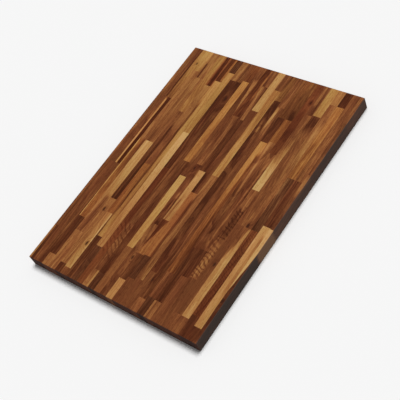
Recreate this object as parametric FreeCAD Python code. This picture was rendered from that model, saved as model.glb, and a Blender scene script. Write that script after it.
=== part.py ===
"""Edge-grain walnut butcher block countertop.

Short staves are finger-jointed end to end into long rows, the rows are glued side by
side into one blank, and the blank is planed, trimmed to size and eased at its edges.
+X runs along the grain to the far end, +Y across the rows to the left long edge, and
+Z up. The origin is at the centre of the underside.
"""

import FreeCAD
import Part
import itertools
import math
import os

# Finished size of the countertop
board_length = 914.4
board_width = 660.4
board_thickness = 44.45

# Width and depth of the small bevel that eases all its edges
edge_ease = 1.6

# Film of glue between neighbouring staves
glue_line = 0.1

# Finger joint: spacing and length of the fingers
finger_pitch = 6.35
finger_length = 12.0

# How far the glued blank stands outside the finished size before it is planed and trimmed
trim_allowance = 5.0

# Shortest stave and narrowest row that may be left at a trimmed edge
shortest_stave = 20.0
narrowest_row = 8.0

# The cut list, from the left long edge to the right one: the width that each row is
# ripped to, and the lengths of its staves from the far end to the near one
cut_list = [
    (18.3, [111, 673, 131]),
    (18.3, [218, 292, 405]),
    (19.6, [221, 289, 405]),
    (24.5, [90, 307, 326, 148, 44]),
    (32.3, [114, 283, 372, 146]),
    (23.2, [256, 371, 254, 34]),
    (22.7, [131, 343, 201, 213, 27]),
    (23.7, [104, 653, 158]),
    (24.0, [58, 264, 464, 129]),
    (22.7, [83, 379, 453]),
    (22.5, [83, 147, 447, 177, 61]),
    (24.5, [73, 343, 440, 59]),
    (24.0, [53, 414, 280, 168]),
    (24.2, [206, 205, 237, 267]),
    (23.5, [70, 143, 215, 194, 130, 92, 71]),
    (24.9, [167, 339, 242, 82, 85]),
    (24.2, [70, 358, 394, 93]),
    (23.5, [106, 678, 131]),
    (24.5, [126, 742, 47]),
    (25.7, [160, 101, 503, 90, 61]),
    (24.5, [160, 92, 413, 191, 59]),
    (24.5, [290, 370, 97, 158]),
    (25.2, [121, 302, 327, 165]),
    (27.4, [116, 428, 317, 54]),
    (25.2, [60, 484, 317, 54]),
    (25.7, [60, 286, 198, 300, 71]),
    (24.9, [97, 249, 172, 353, 44]),
    (13.0, [109, 205, 206, 395]),
]


def lay_out(total, sizes, least):
    """Spans of the pieces laid one after another until they fill the total. The sizes are
    used again when they run out, and a rest under the least size joins the last piece."""
    spans = []
    start = 0.0
    for size in itertools.cycle(sizes):
        end = start + size
        if total - end < least:
            spans.append((start, total))
            return spans
        spans.append((start, end))
        start = end


def half_finger():
    """Height of one flank of a finger. A whole number of fingers fills the thickness."""
    count = max(1, round(board_thickness / finger_pitch))
    return board_thickness / count / 2


def finger_line(joint, shift):
    """Edge of a stave at a joint, in length and height, from under the blank to over it.
    The fingers start at the joint, which is the line seen on both faces, and reach
    towards the near end."""
    flank = half_finger()
    root = joint + shift
    tip = root - finger_length
    corners = round(board_thickness / flank) + 1
    fingers = [(tip if i % 2 else root, i * flank) for i in range(corners)]
    under = (root, -trim_allowance)
    over = (root, board_thickness + trim_allowance)
    return [under] + fingers + [over]


def square_line(end):
    """Edge of a stave at a sawn end of the blank, from under it to over it."""
    return [(end, -trim_allowance), (end, board_thickness + trim_allowance)]


def joint_opening():
    """How far the fingers stand apart along the board, so that the glue fills their flanks."""
    return glue_line * math.hypot(half_finger(), finger_length) / half_finger()


def rough_stave(far, near, left, right):
    """Stave between two places along the blank and two across it, not yet planed. A place
    along it is the distance from the far end, and one across it that from the left edge."""
    x_far = board_length / 2 - far
    x_near = board_length / 2 - near
    opening = joint_opening()
    far_edge = finger_line(x_far, -opening / 2)
    near_edge = finger_line(x_near, opening / 2)
    if far == 0:
        far_edge = square_line(x_far + trim_allowance)
    if near == board_length:
        near_edge = square_line(x_near - trim_allowance)
    left_gap = -trim_allowance if left == 0 else glue_line / 2
    right_gap = -trim_allowance if right == board_width else glue_line / 2
    y_left = board_width / 2 - left - left_gap
    y_right = board_width / 2 - right + right_gap
    outline = far_edge + near_edge[::-1]
    corners = [FreeCAD.Vector(x, y_right, z) for x, z in outline + outline[:1]]
    side = Part.Face(Part.makePolygon(corners))
    return side.extrude(FreeCAD.Vector(0, y_left - y_right, 0))


def finished_blank():
    """The countertop's outer shape, planed, trimmed and eased."""
    corner = FreeCAD.Vector(-board_length / 2, -board_width / 2, 0)
    block = Part.makeBox(board_length, board_width, board_thickness, corner)
    return block.makeChamfer(edge_ease, block.Edges)


def row_of_staves(blank, left, right, lengths):
    """All the staves of one row, trimmed with the blank."""
    staves = []
    for far, near in lay_out(board_length, lengths, shortest_stave):
        stave = rough_stave(far, near, left, right).common(blank)
        staves += stave.Solids
    return Part.makeCompound(staves)


os.makedirs("parts", exist_ok=True)
blank = finished_blank()
widths = [width for width, lengths in cut_list]
rows = lay_out(board_width, widths, narrowest_row)
for number, (left, right) in enumerate(rows, start=1):
    lengths = cut_list[(number - 1) % len(cut_list)][1]
    row = row_of_staves(blank, left, right, lengths)
    row.exportStep(f"parts/stave_row_{number:02d}.step")
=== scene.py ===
import math
import random

import bmesh
import bpy
from mathutils import Matrix, Vector


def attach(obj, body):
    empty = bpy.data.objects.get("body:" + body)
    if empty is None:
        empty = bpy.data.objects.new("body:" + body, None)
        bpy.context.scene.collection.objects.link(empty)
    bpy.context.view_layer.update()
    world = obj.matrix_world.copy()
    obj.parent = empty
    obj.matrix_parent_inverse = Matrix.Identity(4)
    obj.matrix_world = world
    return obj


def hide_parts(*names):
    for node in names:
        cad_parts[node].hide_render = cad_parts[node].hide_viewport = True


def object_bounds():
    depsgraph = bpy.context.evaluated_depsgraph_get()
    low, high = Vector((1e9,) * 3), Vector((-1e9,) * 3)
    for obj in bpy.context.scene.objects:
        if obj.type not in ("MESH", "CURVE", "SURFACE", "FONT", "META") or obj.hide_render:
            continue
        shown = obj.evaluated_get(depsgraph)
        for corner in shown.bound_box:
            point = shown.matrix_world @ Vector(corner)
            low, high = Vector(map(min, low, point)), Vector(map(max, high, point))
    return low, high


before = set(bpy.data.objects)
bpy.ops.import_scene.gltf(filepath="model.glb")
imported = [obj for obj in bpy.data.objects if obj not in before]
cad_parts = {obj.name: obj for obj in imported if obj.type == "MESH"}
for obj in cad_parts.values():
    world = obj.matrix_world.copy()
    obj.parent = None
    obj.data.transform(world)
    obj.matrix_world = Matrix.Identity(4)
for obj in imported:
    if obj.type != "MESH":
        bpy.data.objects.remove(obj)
cad_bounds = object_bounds()


# Cut list of staves
# The real pieces are short walnut staves, about 1 in wide, finger-jointed end to end
# into rows and glued face to face. Where each stave lies is read from the frame.

board_low, board_high = cad_bounds
thickness = board_high.z - board_low.z
finger_length = 0.012
finger_count = 7
glue_line = 0.0001
same_place = 1e-6


def staves_of(node):
    """Boxes of the staves in a row, from the far end to the near one."""
    row = bmesh.new()
    row.from_mesh(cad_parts[node].data)
    bmesh.ops.remove_doubles(row, verts=row.verts, dist=same_place)
    boxes = []
    left = set(row.verts)
    while left:
        reached = [left.pop()]
        for corner in reached:
            near_by = {edge.other_vert(corner) for edge in corner.link_edges} & left
            left -= near_by
            reached += near_by
        places = [corner.co for corner in reached]
        low = Vector(min(place[axis] for place in places) for axis in range(3))
        high = Vector(max(place[axis] for place in places) for axis in range(3))
        boxes.append((low, high))
    row.free()
    return sorted(boxes, key=lambda box: -box[1].x)


# Grading of the staves
# Black walnut runs from nearly black heartwood to pale sapwood. Each stave has a tone at
# its far end and one at its near end, listed from the left row to the right, and
# some staves lean to a redder, more golden or greyer brown.

ladder = {
    "ink": "3F1C0B",
    "bark": "4A2310",
    "umber": "562B16",
    "russet": "62351C",
    "brown": "6F3F23",
    "amber": "7F4B29",
    "tan": "915C33",
    "honey": "9F6B3B",
    "straw": "AC7A46",
    "cream": "B88A53",
    "bone": "C49C64",
}
rungs = {name: float(rung) for rung, name in enumerate(ladder)}
hues = {
    "plain": (1.0, 1.0, 1.0, 1.0),
    "red": (1.05, 0.94, 0.88, 1.0),
    "orange": (1.04, 0.98, 0.84, 1.0),
    "gold": (0.99, 1.03, 0.92, 1.0),
    "grey": (0.93, 1.02, 1.12, 1.0),
}

grades = [
    ["amber", "brown", "umber>bark"],
    ["brown", "brown", "brown"],
    ["straw>amber gold", "ink red", "brown>russet"],
    ["cream>honey gold", "honey>tan", "amber orange", "umber", "tan"],
    ["tan", "tan>amber", "cream>tan", "tan"],
    ["honey>tan gold", "amber>bark", "tan", "bark"],
    ["amber red", "tan>amber", "tan>amber orange", "honey>straw", "brown"],
    ["umber orange", "straw>honey gold", "umber>russet"],
    ["umber grey", "straw>honey gold", "bone>honey", "russet>brown grey"],
    ["amber", "bark>umber", "umber>brown red"],
    ["brown", "umber", "russet>brown", "brown", "amber"],
    ["brown red", "straw>honey orange", "russet>umber", "umber grey"],
    ["amber>brown", "russet>brown", "cream>straw gold", "amber"],
    ["bark>umber red", "brown", "russet", "amber>brown"],
    ["amber>brown", "russet", "umber", "cream>honey", "tan red", "russet", "straw"],
    ["cream", "russet>brown", "tan red", "umber grey", "brown"],
    ["brown", "honey>straw gold", "tan>amber", "brown"],
    ["brown>amber gold", "russet>umber", "brown"],
    ["amber", "brown>russet", "tan"],
    ["brown>russet gold", "bark", "straw>brown orange", "brown", "umber grey"],
    ["brown>russet gold", "amber orange", "amber>russet", "umber", "amber"],
    ["russet red", "brown", "umber", "brown"],
    ["brown", "amber>bone", "amber", "russet>brown"],
    ["straw gold", "brown", "brown", "brown"],
    ["honey", "tan>amber", "amber", "brown>amber"],
    ["russet red", "honey>tan orange", "russet grey", "russet red", "umber"],
    ["brown>amber", "amber", "russet>umber", "cream>straw", "umber"],
    ["amber", "brown", "amber", "bone"],
]

# Staves of very even wood, with hardly a band or streak in it
even_wood = [(10, 3), (13, 4), (16, 2), (16, 3), (16, 5), (17, 4), (18, 3), (22, 4), (23, 4),
             (24, 3), (24, 4), (25, 4), (26, 5), (27, 5)]

# Streaks of sapwood or mineral stain: row, stave, place across it at its far and near
# end from -1 at the left to 1 at the right, half width in the same shares, tone, and
# the shares of the length between which the streak runs. One that is wider than the
# stave colours it from side to side or, with its middle outside it, is the slanting
# border of a field of that tone. A stave has two streaks at most.
streaks = [
    (1, 2, -0.4, -0.2, 0.40, "amber", 0.0, 0.8),
    (1, 3, -0.8, -0.8, 0.60, "honey", 0.0, 1.0),
    (2, 1, 0.8, 0.8, 0.50, "umber", 0.0, 1.0),
    (3, 2, -0.8, -0.8, 0.42, "cream", 0.0, 1.0),
    (4, 3, -1.0, -1.0, 0.28, "cream", 0.0, 1.0),
    (5, 1, -0.6, -0.5, 0.22, "russet", 0.4, 1.0),
    (5, 2, 0.5, 0.5, 0.40, "amber", 0.2, 1.0),
    (5, 3, 1.1, -0.2, 0.50, "brown", 0.6, 1.0),
    (6, 2, 0.7, 0.6, 0.45, "bark", 0.15, 1.0),
    (7, 1, -0.1, 0.1, 0.55, "bark", 0.0, 1.0),
    (7, 4, 0.9, 0.9, 0.30, "cream", 0.0, 1.0),
    (8, 1, 0.8, 0.8, 0.40, "tan", 0.0, 0.85),
    (8, 2, -0.7, -1.0, 0.50, "russet", 0.16, 1.0),
    (8, 2, 0.7, 0.8, 0.18, "amber", 0.5, 0.85),
    (11, 3, -0.7, -0.5, 0.30, "brown", 0.2, 0.9),
    (11, 5, 0.8, 0.8, 0.30, "honey", 0.0, 1.0),
    (13, 2, 2.6, 6.4, 3.0, "honey", 0.0, 0.33),
    (14, 1, 0.9, 0.9, 0.30, "amber", 0.0, 0.6),
    (14, 2, 0.4, 0.3, 0.60, "amber", 0.15, 1.0),
    (14, 3, 0.3, 0.4, 0.20, "tan", 0.45, 0.7),
    (15, 2, -0.5, 0.3, 0.50, "tan", 0.0, 1.0),
    (15, 4, 0.4, -0.5, 0.22, "amber", 0.55, 0.95),
    (15, 5, -0.1, -2.7, 1.0, "umber", 0.0, 1.0),
    (15, 6, 0.5, 0.5, 0.50, "umber", 0.0, 1.0),
    (16, 2, -0.7, -0.7, 0.40, "bark", 0.75, 1.0),
    (16, 3, 1.0, 1.0, 0.45, "russet", 0.1, 1.0),
    (17, 3, -1.1, -1.1, 0.40, "russet", 0.2, 0.85),
    (17, 3, 0.9, 0.9, 0.22, "honey", 0.75, 1.0),
    (18, 2, 0.0, 0.0, 2.0, "bark", 0.0, 0.13),
    (18, 2, -0.8, 4.0, 0.30, "tan", 0.13, 0.26),
    (19, 2, -0.5, -0.5, 0.42, "cream", 0.0, 0.08),
    (20, 3, 0.9, 0.6, 0.40, "russet", 0.1, 1.0),
    (21, 1, -0.4, 0.2, 0.50, "bark", 0.7, 1.0),
    (21, 3, -0.5, 0.7, 0.25, "honey", 0.0, 0.5),
    (22, 2, 0.5, -0.3, 0.20, "tan", 0.1, 0.9),
    (23, 1, -0.5, -0.2, 0.40, "tan", 0.0, 0.6),
    (23, 3, 0.0, 0.0, 2.0, "umber", 0.22, 0.52),
    (24, 2, 0.0, 0.0, 2.0, "bark", 0.0, 0.10),
    (25, 2, 0.3, 0.2, 0.60, "honey", 0.17, 0.42),
    (25, 2, -0.3, -0.4, 0.40, "amber", 0.62, 0.9),
    (25, 3, 3.6, -0.6, 3.0, "straw", 0.0, 1.0),
    (26, 2, -0.8, -0.4, 0.60, "amber", 0.5, 1.0),
    (26, 3, -0.6, -0.5, 0.35, "amber", 0.0, 0.3),
    (27, 4, 0.7, 0.5, 0.40, "honey", 0.1, 0.6),
    (28, 4, 5.4, -0.6, 3.0, "umber", 0.0, 1.0),
]
slots = ("first", "second")

# Knots: row, distance from the far end in metres, place across the stave, radius
knots = [
    (3, 0.062, 0.5, 0.0035),
    (6, 0.671, -0.4, 0.0045),
    (7, 0.795, 0.1, 0.0045),
    (11, 0.158, -0.3, 0.0040),
    (14, 0.428, -0.6, 0.0035),
    (14, 0.772, 0.5, 0.0040),
    (18, 0.325, 0.3, 0.0030),
    (19, 0.807, -0.8, 0.0035),
    (22, 0.075, 0.4, 0.0030),
    (24, 0.686, 0.4, 0.0040),
    (25, 0.316, -0.1, 0.0035),
    (25, 0.537, -0.3, 0.0045),
    (28, 0.772, 0.0, 0.0045),
]

# Staves with curly figure: how strong it is, the distance from bar to bar in
# millimetres, how far the bars slant, and where along the stave they start and end
curls = {
    (10, 3): (0.6, 19.0, 1.0, 0.45, 0.75),
    (11, 4): (0.9, 19.0, 1.0, 0.0, 0.7),
    (23, 3): (1.0, 15.0, 0.45, 0.18, 1.0),
    (26, 4): (0.5, 10.0, 0.7, 0.0, 1.0),
}

# Staves sawn flat to the rings, which show as long pointed arches
flat_sawn = [(14, 3), (18, 2), (21, 3), (22, 2)]


def linear(code):
    """sRGB hex to linear colour."""
    shares = [int(code[i:i + 2], 16) / 255 for i in (0, 2, 4)]
    bent = [c / 12.92 if c <= 0.04045 else ((c + 0.055) / 1.055) ** 2.4 for c in shares]
    return (*bent, 1.0)


def add(tree, kind, inputs=(), output=0, **settings):
    """Adds a node with its settings and links, and returns one of its outputs."""
    node = tree.nodes.new(kind)
    for name, value in settings.items():
        setattr(node, name, value)
    pairs = inputs.items() if isinstance(inputs, dict) else enumerate(inputs)
    for name, value in pairs:
        if isinstance(value, bpy.types.NodeSocket):
            tree.links.new(value, node.inputs[name])
        else:
            node.inputs[name].default_value = value
    return node.outputs[output] if node.outputs else node


# Oiled walnut
# Planed black walnut under a rubbed oil: satin, with growth rings about the tree's pith,
# which is off to one side of each stave, long streaks of colour, fine fibres and short
# open pores. The ends and long edges are painted nearly black brown and greyish. This is
# painted shade with a grey painted reflection haze, the same on all four sides, and on the
# end grain it is partly also that grain's real darker, oil-soaked tone.

# Painted shade and a grey painted reflection haze for the board's ends and long edges: the wood's
# colour is scaled down and a grey tone is added. On the long edges all of it is painted shade. On
# the end grain it is partly painted shade and partly the real darker tone of oil-soaked end grain.
oil_and_shade_scale = (0.40, 0.29, 0.31)
long_edge_shade_tone = linear("444541")
end_grain_oil_and_shade_tone = linear("2A2B2A")
knot_tone = linear("33190E")
golden_cast = (0.97, 1.02, 0.96, 1.0)
red_cast = (1.04, 0.97, 0.98, 1.0)
edge_ease = 0.0016
wander_mm = 16.0
wander_length_mm = 180.0
wander_width_mm = 45.0
figure_length_mm = 160.0
season_mm = 9.0
band_mm = 10.0
streak_mm = 4.0
curl_patch_mm = (35.0, 25.0, 25.0)
curl_sway_mm = 30.0

# Real walnut fibres and pores are finer than this, and are drawn as coarse as they need
# to show
fibre_mm = 2.2
fibre_length_mm = 50.0
pore_mm = 1.0
pore_length_mm = 9.0


def oiled_walnut():
    material = bpy.data.materials.new("oiled_walnut")
    material.use_nodes = True
    tree = material.node_tree
    tree.nodes.clear()
    maths, vectors = "ShaderNodeMath", "ShaderNodeVectorMath"
    noise, attribute = "ShaderNodeTexNoise", "ShaderNodeAttribute"
    split, join, between = "ShaderNodeSeparateXYZ", "ShaderNodeCombineXYZ", "ShaderNodeMapRange"

    # Place in the stave, in millimetres from its centre, and as shares of its size
    centre = add(tree, attribute, output=1, attribute_name="centre")
    size = add(tree, attribute, output=1, attribute_name="size_mm")
    seed = add(tree, attribute, output=1, attribute_name="seed")
    place = add(tree, "ShaderNodeTexCoord", output=3)
    offset = add(tree, vectors, [place, centre], operation="SUBTRACT")
    local = add(tree, vectors, {0: offset, 3: 1000.0}, operation="SCALE")
    along = add(tree, split, [local])
    across = along.node.outputs[1]
    long = add(tree, split, [size])
    half_width = long.node.outputs[1]
    ratio = add(tree, maths, [along, long], operation="DIVIDE")
    share = add(tree, maths, [0.5, ratio], operation="SUBTRACT")
    turned = add(tree, maths, [across, half_width], operation="DIVIDE")
    side = add(tree, maths, [turned, -1.0], operation="MULTIPLY")

    # Growth rings: distance from the pith's line, which leans and wanders
    amble = (1 / wander_length_mm, 1 / wander_width_mm, 1 / wander_width_mm)
    lazy = add(tree, vectors, [local, amble, seed], operation="MULTIPLY_ADD")
    drift = add(tree, noise, {"Vector": lazy, "Scale": 1.0, "Detail": 2.0}, output=1)
    half = -wander_mm / 2
    wander = add(tree, vectors, [drift, (0, wander_mm, wander_mm), (0, half, half)],
                 operation="MULTIPLY_ADD")
    pith = add(tree, attribute, output=1, attribute_name="pith_mm")
    lean = add(tree, attribute, output=1, attribute_name="lean")
    leant = add(tree, vectors, {0: lean, 3: along}, operation="SCALE")
    heart = add(tree, vectors, [leant, pith], operation="ADD")
    wood = add(tree, vectors, [local, wander], operation="ADD")
    spoke = add(tree, vectors, [wood, heart], operation="SUBTRACT")
    flat = add(tree, vectors, [spoke, (0, 1, 1)], operation="MULTIPLY")
    reach = add(tree, vectors, [flat], output=1, operation="LENGTH")

    # A knot pushes the rings outwards round it
    knot = add(tree, attribute, output=1, attribute_name="knot_mm")
    knot_size = add(tree, attribute, output=2, attribute_name="knot_radius")
    from_knot = add(tree, vectors, [local, knot], operation="SUBTRACT")
    oval = add(tree, vectors, [from_knot, (0.5, 1, 0.1)], operation="MULTIPLY")
    knot_reach = add(tree, vectors, [oval], output=1, operation="LENGTH")
    knot_share = add(tree, maths, [knot_reach, knot_size], operation="DIVIDE")
    near_knot = add(tree, between, [knot_share, 3.5, 0.4, 0.0, 1.0],
                    interpolation_type="SMOOTHSTEP")
    push = add(tree, maths, [knot_size, near_knot], operation="MULTIPLY")
    radius = add(tree, maths, [push, 1.8, reach], operation="MULTIPLY_ADD")

    # Rings end in a dark line, and are wide and narrow by turns
    seed_x = add(tree, split, [seed])
    slow = add(tree, maths, [along, 1 / figure_length_mm], operation="MULTIPLY")
    ring_place = add(tree, maths, [radius, 1 / season_mm], operation="MULTIPLY")
    years = add(tree, join, [slow, ring_place, seed_x])
    season = add(tree, noise, {"Vector": years, "Scale": 1.0, "Detail": 1.0})
    ring_width = add(tree, attribute, output=2, attribute_name="ring_mm")
    count = add(tree, maths, [radius, ring_width], operation="DIVIDE")
    phase = add(tree, maths, [season, 2.5, count], operation="MULTIPLY_ADD")
    ring = add(tree, maths, [phase], operation="FRACT")
    late_wood = add(tree, between, [ring, 0.25, 1.0, -0.4, 0.6], interpolation_type="SMOOTHSTEP")

    # Bands and streaks of colour follow the rings, and fibres and pores the stave's length
    band_place = add(tree, maths, [radius, 1 / band_mm], operation="MULTIPLY")
    bands = add(tree, join, [slow, seed_x, band_place])
    band = add(tree, noise, {"Vector": bands, "Scale": 1.0, "Detail": 2.0})
    streak_place = add(tree, maths, [radius, 1 / streak_mm], operation="MULTIPLY")
    lines = add(tree, join, [slow, streak_place, seed_x])
    streak = add(tree, noise, {"Vector": lines, "Scale": 1.0, "Detail": 3.0, "Roughness": 0.6})
    thread = (1 / fibre_length_mm, 1 / fibre_mm, 1 / fibre_mm)
    threads = add(tree, vectors, [local, thread, seed], operation="MULTIPLY_ADD")
    fibre = add(tree, noise, {"Vector": threads, "Scale": 1.0, "Detail": 2.0})
    dash = (1 / pore_length_mm, 1 / pore_mm, 1 / pore_mm)
    dashes = add(tree, vectors, [local, dash, seed], operation="MULTIPLY_ADD")
    speck = add(tree, noise, {"Vector": dashes, "Scale": 1.0, "Detail": 0.0})
    pore = add(tree, between, [speck, 0.60, 0.72, 0.0, 1.0], interpolation_type="SMOOTHSTEP")

    # Rung on the ladder of tones, from the far end's to the near end's
    rung_far = add(tree, attribute, output=2, attribute_name="rung_far")
    rung_near = add(tree, attribute, output=2, attribute_name="rung_near")
    loose = add(tree, maths, [band, 0.5, share], operation="MULTIPLY_ADD")
    rung = add(tree, between, [loose, 0.35, 1.15, rung_far, rung_near],
               interpolation_type="SMOOTHSTEP")

    # Where the stave has its own streaks, the rung is theirs
    for slot in slots:
        line = add(tree, split, [add(tree, attribute, output=1, attribute_name=slot + "_line")])
        run = add(tree, split, [add(tree, attribute, output=1, attribute_name=slot + "_run")])
        path = add(tree, between, {0: share, 3: line, 4: line.node.outputs[1]}, clamp=False)
        stray = add(tree, between, [band, 0.0, 1.0, -0.3, 0.3])
        strayed = add(tree, maths, [side, stray], operation="ADD")
        away = add(tree, maths, [strayed, path], operation="SUBTRACT")
        distance = add(tree, maths, [away], operation="ABSOLUTE")
        inside = add(tree, maths, [line.node.outputs[2], distance], operation="SUBTRACT")
        on_line = add(tree, between, [inside, -0.14, 0.12, 0.0, 1.0],
                      interpolation_type="SMOOTHSTEP")
        since = add(tree, maths, [share, run], operation="SUBTRACT")
        begun = add(tree, between, [since, -0.04, 0.04, 0.0, 1.0],
                    interpolation_type="SMOOTHSTEP")
        until = add(tree, maths, [run.node.outputs[1], share], operation="SUBTRACT")
        still = add(tree, between, [until, -0.10, 0.04, 0.0, 1.0],
                    interpolation_type="SMOOTHSTEP")
        lasting = add(tree, maths, [begun, still], operation="MULTIPLY")
        streaked = add(tree, maths, [on_line, lasting], operation="MULTIPLY")
        rung = add(tree, between, [streaked, 0.0, 1.0, rung, run.node.outputs[2]])

    # Bands, streaks and fibres move it up and down, less in pale wood than in dark
    lively = add(tree, attribute, output=2, attribute_name="lively")
    pale = add(tree, between, [rung, 3.0, 9.0, 1.0, 0.45])
    calm = add(tree, maths, [lively, pale], operation="MULTIPLY")
    band_step = add(tree, between, [band, 0.2, 0.8, -2.1, 2.1])
    streak_step = add(tree, between, [streak, 0.2, 0.8, -2.1, 2.1])
    fibre_step = add(tree, between, [fibre, 0.2, 0.8, -1.8, 1.8])
    sway = add(tree, maths, [band_step, streak_step], operation="ADD")
    swayed = add(tree, maths, [sway, fibre_step], operation="ADD")
    calmed = add(tree, maths, [swayed, calm, rung], operation="MULTIPLY_ADD")
    ring_depth = add(tree, attribute, output=2, attribute_name="ring_depth")
    ringed = add(tree, maths, [late_wood, ring_depth], operation="MULTIPLY")
    lined = add(tree, maths, [calmed, ringed], operation="SUBTRACT")
    poured = add(tree, maths, [pore, -1.7, lined], operation="MULTIPLY_ADD")
    shaded = add(tree, maths, [near_knot, -0.9, poured], operation="MULTIPLY_ADD")

    # Curly figure: waving fibres show as uneven bars across the stave, dark and light
    curl = add(tree, split, [add(tree, attribute, output=1, attribute_name="curl")])
    spacing, slope = curl.node.outputs[1:3]
    curl_run = add(tree, split, [add(tree, attribute, output=1, attribute_name="curl_run")])
    spread = tuple(1 / size for size in curl_patch_mm)
    patches = add(tree, vectors, [local, spread, seed], operation="MULTIPLY_ADD")
    patch = add(tree, noise, {"Vector": patches, "Scale": 1.0, "Detail": 2.0}, output=1)
    bend = add(tree, split, [patch])
    strong = add(tree, between, [bend.node.outputs[1], 0.35, 0.6, 0.3, 1.0])
    slant = add(tree, maths, [across, slope], operation="MULTIPLY")
    tilted = add(tree, maths, [along, slant], operation="SUBTRACT")
    bent = add(tree, maths, [bend, curl_sway_mm, tilted], operation="MULTIPLY_ADD")
    waves = add(tree, maths, [bent, spacing], operation="DIVIDE")
    turns = add(tree, maths, [waves, 2 * math.pi], operation="MULTIPLY")
    ripple = add(tree, maths, [turns], operation="SINE")
    bar = add(tree, between, [ripple, -0.2, 1.0, 0.7, -2.0], interpolation_type="SMOOTHSTEP")
    curl_since = add(tree, maths, [share, curl_run], operation="SUBTRACT")
    curl_begun = add(tree, between, [curl_since, -0.03, 0.05, 0.0, 1.0])
    curl_until = add(tree, maths, [curl_run.node.outputs[1], share], operation="SUBTRACT")
    curl_still = add(tree, between, [curl_until, -0.05, 0.05, 0.0, 1.0])
    curled = add(tree, maths, [curl_begun, curl_still], operation="MULTIPLY")
    patchy = add(tree, maths, [curled, strong], operation="MULTIPLY")
    figure = add(tree, maths, [patchy, curl], operation="MULTIPLY")
    rippled = add(tree, maths, [bar, figure, shaded], operation="MULTIPLY_ADD")

    # The ladder of tones, and the hue, which wanders between redder and more golden
    height = add(tree, maths, [rippled, 1 / (len(ladder) - 1)], operation="MULTIPLY")
    tone = add(tree, "ShaderNodeValToRGB", [height])
    ramp = tone.node.color_ramp
    for name in list(ladder)[1:-1]:
        ramp.elements.new(rungs[name] / (len(ladder) - 1))
    for step, code in zip(ramp.elements, ladder.values()):
        step.color = linear(code)
    hue = add(tree, attribute, attribute_name="hue")
    warmth = add(tree, split, [drift])
    warm = add(tree, between, [warmth, 0.3, 0.7, 0.0, 1.0])
    cast = add(tree, "ShaderNodeMix", {0: warm, 6: golden_cast, 7: red_cast}, output=2,
               data_type="RGBA")
    leaning = add(tree, vectors, [hue, cast], operation="MULTIPLY")
    hued = add(tree, vectors, [tone, leaning], operation="MULTIPLY")
    core = add(tree, between, [knot_share, 1.4, 0.6, 0.0, 0.85], interpolation_type="SMOOTHSTEP")
    knotted = add(tree, "ShaderNodeMix", {0: core, 6: hued, 7: knot_tone}, output=2,
                  data_type="RGBA")

    # Edges of the board: painted shade with a grey painted reflection haze, darkest on the end
    # grain, which also soaks up more oil
    world = add(tree, split, [place])
    masks = []
    for part, limit in ((world, board_high.x), (world.node.outputs[1], board_high.y)):
        out = add(tree, maths, [part], operation="ABSOLUTE")
        masks.append(add(tree, between, [out, limit - edge_ease, limit, 0.0, 1.0],
                         interpolation_type="SMOOTHSTEP"))
    edge = add(tree, maths, masks, operation="MAXIMUM")
    edge_shade_tone = add(tree, "ShaderNodeMix", {0: masks[0], 6: long_edge_shade_tone, 7: end_grain_oil_and_shade_tone}, output=2,
              data_type="RGBA")
    oiled_and_shaded_edge = add(tree, vectors, [knotted, oil_and_shade_scale, edge_shade_tone], operation="MULTIPLY_ADD")
    wood_with_shaded_edges = add(tree, "ShaderNodeMix", {0: edge, 6: knotted, 7: oiled_and_shaded_edge}, output=2,
                 data_type="RGBA")

    relief = add(tree, maths, [pore, -1.0, fibre], operation="MULTIPLY_ADD")
    bump = add(tree, "ShaderNodeBump", {"Height": relief, "Strength": 0.35, "Distance": 0.0001})
    sheen = add(tree, between, [streak, 0.2, 0.8, 0.50, 0.62])
    dull = add(tree, between, [edge, 0.0, 1.0, sheen, 0.85])
    shader = add(tree, "ShaderNodeBsdfPrincipled",
                 {"Base Color": wood_with_shaded_edges, "Roughness": dull, "Normal": bump, "IOR": 1.48,
                  "Specular IOR Level": 0.04})
    add(tree, "ShaderNodeOutputMaterial", {"Surface": shader})
    return material


# Rows of staves
# Each row is a run of staves end to end. A stave is a bar whose joined ends are cut in
# fingers through the thickness, so a joint shows straight on the worktop and as a zigzag
# on the long edges. Glue closes the fine gap between the solids, so the staves meet here.
# The board's own arrises are sanded round.


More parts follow.
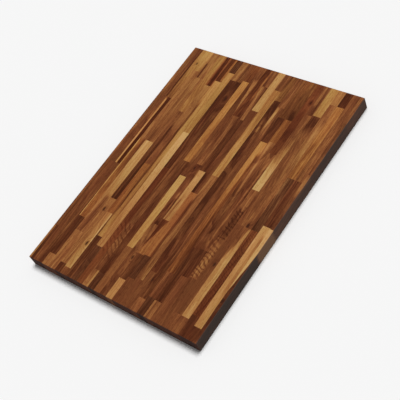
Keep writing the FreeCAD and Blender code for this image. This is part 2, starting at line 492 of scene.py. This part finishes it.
def row_of_staves(material):
    """Geometry Nodes tree that turns one point for each stave into the staves."""
    tree = bpy.data.node_groups.new("row_of_staves", "GeometryNodeTree")
    for name, kind in (("Points", "NodeSocketGeometry"), ("Thickness", "NodeSocketFloat"),
                       ("Finger Length", "NodeSocketFloat"), ("Fingers", "NodeSocketInt")):
        tree.interface.new_socket(name, in_out="INPUT", socket_type=kind)
    tree.interface.new_socket("Staves", in_out="OUTPUT", socket_type="NodeSocketGeometry")
    points = add(tree, "NodeGroupInput")
    thick, finger, fingers = points.node.outputs[1:4]
    maths, named = "ShaderNodeMath", "GeometryNodeInputNamedAttribute"
    store = "GeometryNodeStoreNamedAttribute"

    steps = add(tree, maths, [fingers, 2.0], operation="MULTIPLY")
    levels = add(tree, maths, [steps, 1.0], operation="ADD")
    block = add(tree, "GeometryNodeMeshCube", {"Size": (1, 1, 1), "Vertices Z": levels})
    here = add(tree, "GeometryNodeInputPosition")
    marked = add(tree, store, {"Geometry": block, "Name": "unit", "Value": here},
                 data_type="FLOAT_VECTOR", domain="POINT")
    copies = add(tree, "GeometryNodeInstanceOnPoints", {"Points": points, "Instance": marked})
    bars = add(tree, "GeometryNodeRealizeInstances", [copies])

    unit = add(tree, "ShaderNodeSeparateXYZ",
               [add(tree, named, {"Name": "unit"}, data_type="FLOAT_VECTOR")])
    unit_y, unit_z = unit.node.outputs[1:3]
    up = add(tree, maths, [unit_z, 0.5], operation="ADD")
    level = add(tree, maths, [up, steps], operation="MULTIPLY")
    tooth = add(tree, maths, [level, 1.0], operation="PINGPONG")
    is_far = add(tree, "FunctionNodeCompare", [unit, 0.0], operation="GREATER_THAN")
    ends = []
    for quantity in ("face", "fingers"):
        pair = [add(tree, named, {"Name": f"{end}_{quantity}"}) for end in ("near", "far")]
        ends.append(add(tree, "GeometryNodeSwitch", {0: is_far, 1: pair[0], 2: pair[1]},
                        input_type="FLOAT"))
    cut = add(tree, maths, [tooth, ends[1]], operation="MULTIPLY")
    depth = add(tree, maths, [cut, finger], operation="MULTIPLY")
    x = add(tree, maths, [ends[0], depth], operation="SUBTRACT")
    middle = add(tree, named, {"Name": "middle"})
    width = add(tree, named, {"Name": "width"})
    y = add(tree, maths, [unit_y, width, middle], operation="MULTIPLY_ADD")
    z = add(tree, maths, [up, thick], operation="MULTIPLY")
    spot = add(tree, "ShaderNodeCombineXYZ", [x, y, z])
    shaped = add(tree, "GeometryNodeSetPosition", {"Geometry": bars, "Position": spot})
    whole = add(tree, "GeometryNodeRealizeInstances", [shaped])
    made = add(tree, "GeometryNodeSetMaterial", {"Geometry": whole, "Material": material})
    add(tree, "NodeGroupOutput", [made])
    return tree


def stave_marks(row, number, box, count):
    """What the shape and the wood of one stave are worked out from."""
    far_fingers = 0.0 if number == 1 else 1.0
    near_fingers = 0.0 if number == count else 1.0
    glue = Vector((glue_line, glue_line, 0.0)) / 2
    low = Vector(map(max, box[0] - glue, board_low))
    high = Vector(map(min, box[1] + glue, board_high))
    middle = (low + high) / 2
    near_face = low.x + finger_length * near_fingers
    tones, _, hue = grades[row - 1][number - 1].partition(" ")
    far_tone, _, near_tone = tones.partition(">")
    growth = random.Random(row * 100 + number)
    angle = growth.uniform(0, 2 * math.pi)
    off = growth.uniform(25, 110)
    curl = curls.get((row, number), (0.0, 10.0, 0.0, 0.0, 1.0))
    marks = {
        "far_face": high.x,
        "near_face": near_face,
        "far_fingers": far_fingers,
        "near_fingers": near_fingers,
        "middle": middle.y,
        "width": high.y - low.y,
        "centre": tuple(middle),
        "size_mm": ((high.x - low.x) * 1000, (high.y - low.y) * 500, 0.0),
        "seed": tuple(growth.uniform(0, 90) for axis in range(3)),
        "pith_mm": (0.0, off * math.cos(angle), off * math.sin(angle)),
        "lean": (0.0, growth.uniform(-0.05, 0.05), growth.uniform(-0.05, 0.05)),
        "ring_mm": growth.uniform(2.2, 4.5),
        "ring_depth": 0.8,
        "knot_mm": (0.0, 0.0, 0.0),
        "knot_radius": 0.001,
        "curl": curl[:3],
        "curl_run": (*curl[3:], 0.0),
        "rung_far": rungs[far_tone],
        "rung_near": rungs[near_tone or far_tone],
        "hue": hues[hue or "plain"],
        "lively": 0.5 if (row, number) in even_wood else 1.0,
    }
    own = [streak[2:] for streak in streaks if streak[:2] == (row, number)]
    unused = (0.0, 0.0, -1.0, "ink", 0.0, 0.0)
    for slot, streak in zip(slots, own + [unused] * (len(slots) - len(own))):
        far, near, half, tone, start, end = streak
        marks[slot + "_line"] = (far, near, half)
        marks[slot + "_run"] = (start, end, rungs[tone])
    if (row, number) in flat_sawn:
        marks["pith_mm"] = (0.0, growth.uniform(-6, 6), -18.0)
        marks["lean"] = (0.0, growth.uniform(-0.02, 0.02), growth.choice((-0.05, 0.05)))
        marks["ring_mm"] = 6.0
        marks["ring_depth"] = 1.6
    for at_row, reach, side, size in knots:
        x = board_high.x - reach
        if at_row == row and near_face < x <= high.x:
            y = -side * (high.y - low.y) / 2
            marks["knot_mm"] = ((x - middle.x) * 1000, y * 1000, 0.0)
            marks["knot_radius"] = size * 1000
    return marks


def round_arrises(mesh):
    """Sands the board's outer edges round and shades only those faces smooth."""
    shape = bmesh.new()
    shape.from_mesh(mesh)
    outer = []
    for edge in shape.edges:
        sides = 0
        for axis in range(3):
            limits = (board_low[axis], board_high[axis])
            sides += any(all(abs(corner.co[axis] - limit) < same_place * 10
                             for corner in edge.verts) for limit in limits)
        if sides == 2:
            outer.append(edge)
    bmesh.ops.bevel(shape, geom=outer, offset=edge_ease, offset_type="OFFSET", segments=4,
                    profile=0.5, affect="EDGES", material=-1)
    shape.to_mesh(mesh)
    shape.free()
    mesh.shade_smooth()
    mesh.set_sharp_from_angle(angle=math.radians(28))


walnut = oiled_walnut()
row_tree = row_of_staves(walnut)
kinds = {float: "FLOAT", 3: "FLOAT_VECTOR", 4: "FLOAT_COLOR"}
for row in range(1, len(grades) + 1):
    node = f"stave_row_{row:02d}"
    boxes = staves_of(node)
    staves = [stave_marks(row, i, box, len(boxes)) for i, box in enumerate(boxes, start=1)]
    points = bpy.data.meshes.new(f"staves_{row:02d}")
    points.from_pydata([marks["centre"] for marks in staves], [], [])
    for name, first in staves[0].items():
        kind = kinds[float if isinstance(first, float) else len(first)]
        layer = points.attributes.new(name, kind, "POINT")
        for datum, marks in zip(layer.data, staves):
            if kind == "FLOAT":
                datum.value = marks[name]
            elif kind == "FLOAT_VECTOR":
                datum.vector = marks[name]
            else:
                datum.color = marks[name]
    piece = bpy.data.objects.new(f"staves_{row:02d}", points)
    bpy.context.scene.collection.objects.link(piece)
    maker = piece.modifiers.new("staves", "NODES")
    maker.node_group = row_tree
    sizes = {"Thickness": thickness, "Finger Length": finger_length, "Fingers": finger_count}
    for socket in row_tree.interface.items_tree:
        if socket.name in sizes:
            maker[socket.identifier] = sizes[socket.name]
    shaped = piece.evaluated_get(bpy.context.evaluated_depsgraph_get())
    mesh = bpy.data.meshes.new_from_object(shaped)
    mesh.materials.pop(index=0)
    piece.modifiers.clear()
    piece.data = mesh
    round_arrises(mesh)
    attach(piece, "root")
    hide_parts(node)


# Floor and light
# A pale matt floor under an even white sky, with one broad soft lamp nearly overhead, a
# little behind the board and to its left, so that the near end and the right long edge
# are in their own shade and the shadow beside them is narrow.

backdrop_tone = linear("F7F7F7")
bounce_tone = linear("C4C4C4")
floor_size = 30.0
sky_strength = 0.24
lamp_strength = 2.52
lamp_softness = math.radians(25)
lamp_from = Vector((0.28, 0.02, 1.0))


def shown_rays(tree):
    """One for rays that show the backdrop: straight to the camera, or by way of a gloss."""
    rays = add(tree, "ShaderNodeLightPath")
    sight = [rays.node.outputs[name] for name in ("Is Camera Ray", "Is Glossy Ray")]
    through = rays.node.outputs["Is Transmission Ray"]
    direct = add(tree, "ShaderNodeMath", sight, operation="MAXIMUM")
    return add(tree, "ShaderNodeMath", [direct, through], operation="MAXIMUM")


def pale_floor():
    """Matt floor that looks pale to the camera and throws back less light than it shows."""
    material = bpy.data.materials.new("matt_floor")
    material.use_nodes = True
    tree = material.node_tree
    tree.nodes.clear()
    shown = add(tree, "ShaderNodeMix", {0: shown_rays(tree), 6: bounce_tone, 7: backdrop_tone},
                output=2, data_type="RGBA")
    matt = add(tree, "ShaderNodeBsdfDiffuse", {"Color": shown})
    add(tree, "ShaderNodeOutputMaterial", {"Surface": matt})
    return material


ground = bpy.data.meshes.new("floor")
reach = floor_size / 2
ground.from_pydata([(-reach, -reach, 0), (reach, -reach, 0), (reach, reach, 0), (-reach, reach, 0)],
                   [], [(0, 1, 2, 3)])
ground.materials.append(pale_floor())
floor = bpy.data.objects.new("floor", ground)
floor.location.z = board_low.z
bpy.context.scene.collection.objects.link(floor)

sky = bpy.data.worlds.new("even_sky")
sky.use_nodes = True
sky_tree = sky.node_tree
sky_tree.nodes.clear()
strength = add(sky_tree, "ShaderNodeMapRange", [shown_rays(sky_tree), 0.0, 1.0, sky_strength, 1.0])
light = add(sky_tree, "ShaderNodeBackground", {"Color": backdrop_tone, "Strength": strength})
add(sky_tree, "ShaderNodeOutputWorld", {"Surface": light})
bpy.context.scene.world = sky

lamp_data = bpy.data.lights.new("soft_lamp", "SUN")
lamp_data.energy = lamp_strength
lamp_data.angle = lamp_softness
lamp = bpy.data.objects.new("soft_lamp", lamp_data)
lamp.rotation_mode = "QUATERNION"
lamp.rotation_quaternion = lamp_from.to_track_quat("Z", "Y")
bpy.context.scene.collection.objects.link(lamp)


# Camera
# It looks down on the lying board over its near right corner, turned a little so that
# the board runs from the upper right to the lower left.

camera_place = Vector((-1.0064, -1.5532, 2.1435))
camera_right = Vector((0.55555, -0.77515, -0.30084))
camera_up = Vector((0.75692, 0.32172, 0.56882))
sensor_width = 36.0
focal_length = 82.97

camera_data = bpy.data.cameras.new("camera")
camera_data.sensor_width = sensor_width
camera_data.lens = focal_length
camera = bpy.data.objects.new("camera", camera_data)
back = camera_right.cross(camera_up)
turn = Matrix((camera_right, camera_up, back)).transposed().to_4x4()
camera.matrix_world = Matrix.Translation(camera_place) @ turn
bpy.context.scene.collection.objects.link(camera)
bpy.context.scene.camera = camera
bpy.context.scene.view_settings.view_transform = "Standard"
